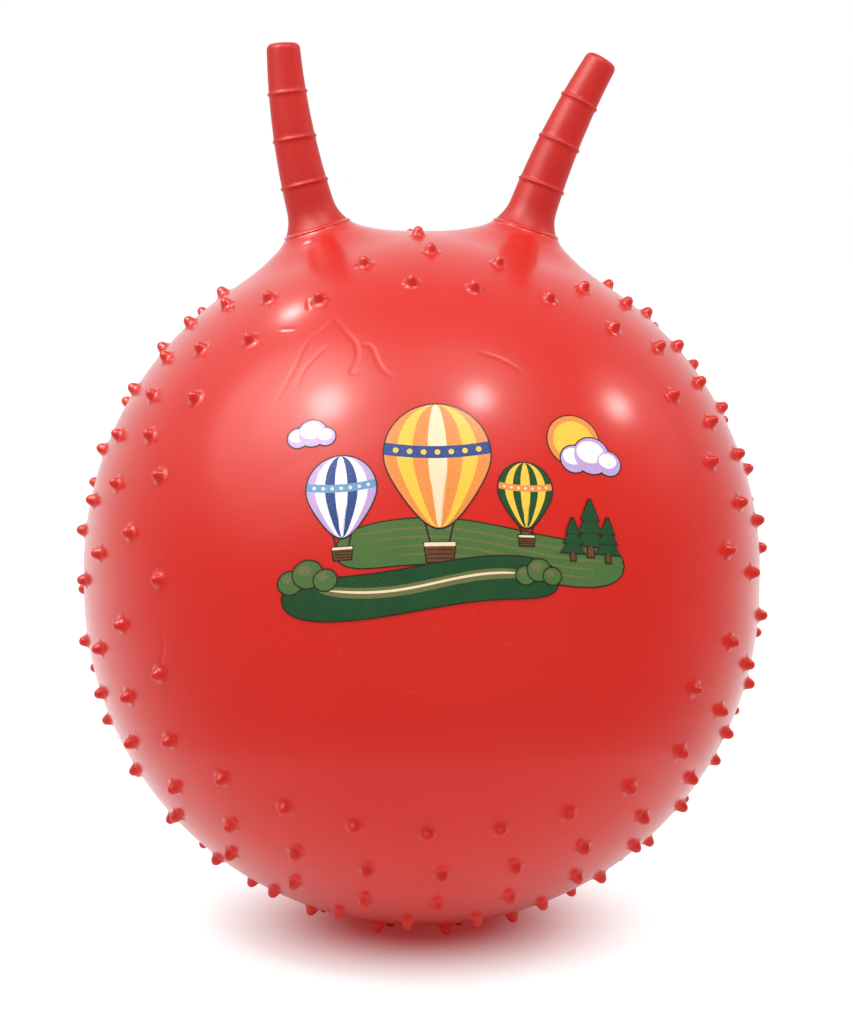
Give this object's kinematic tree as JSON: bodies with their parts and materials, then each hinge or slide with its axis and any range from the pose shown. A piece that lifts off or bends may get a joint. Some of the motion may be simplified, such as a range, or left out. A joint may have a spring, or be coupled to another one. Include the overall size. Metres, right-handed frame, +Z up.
{
  "type": "hopper ball",
  "caption": "Inflated red bouncing ball to sit on, with two ringed horn handles, moulded nubs over the skin, a printed picture at the front and a push-in air plug at the back.",
  "frame": {"origin": "middle of the ball's footprint on the floor, at the flats of the lowest nubs", "axes": "+Z up, -Y to the side with the printed picture, +X to the viewer's right when the picture is faced"},
  "size_m": [0.4628, 0.4557, 0.5894],
  "materials": {
    "gloss_skin": "glossy soft PVC, moulded red",
    "horn_skin": "duller soft PVC, moulded red",
    "plug": "white soft plastic",
    "print": "printed ink film in several colours"
  },
  "bodies": {
    "ball": {"ball_skin": "gloss_skin", "ball_nubs": "gloss_skin", "left_horn_foot": "horn_skin", "right_horn_foot": "horn_skin", "valve_seat": "gloss_skin", "print_film": "print"},
    "left_horn": {"left_horn_grip": "horn_skin"},
    "right_horn": {"right_horn_grip": "horn_skin"},
    "plug": {"valve_plug": "plug"}
  },
  "joints": [
    {"name": "left_horn_bend", "type": "hinge", "parent": "ball", "child": "left_horn", "pos_m": [-0.07297, 0, 0.48194], "axis": [0, 1, 0], "range_deg": [-25, 25], "stiffness_Nm_per_rad": 2, "deforming": ["left_horn_foot"]},
    {"name": "right_horn_bend", "type": "hinge", "parent": "ball", "child": "right_horn", "pos_m": [0.07399, 0, 0.48163], "axis": [0, 1, 0], "range_deg": [-25, 25], "stiffness_Nm_per_rad": 2, "deforming": ["right_horn_foot"]},
    {"name": "plug_pull", "type": "slide", "parent": "ball", "child": "plug", "axis": [0, 0.5299, 0.848], "range_m": [0, 0.03]}
  ]
}
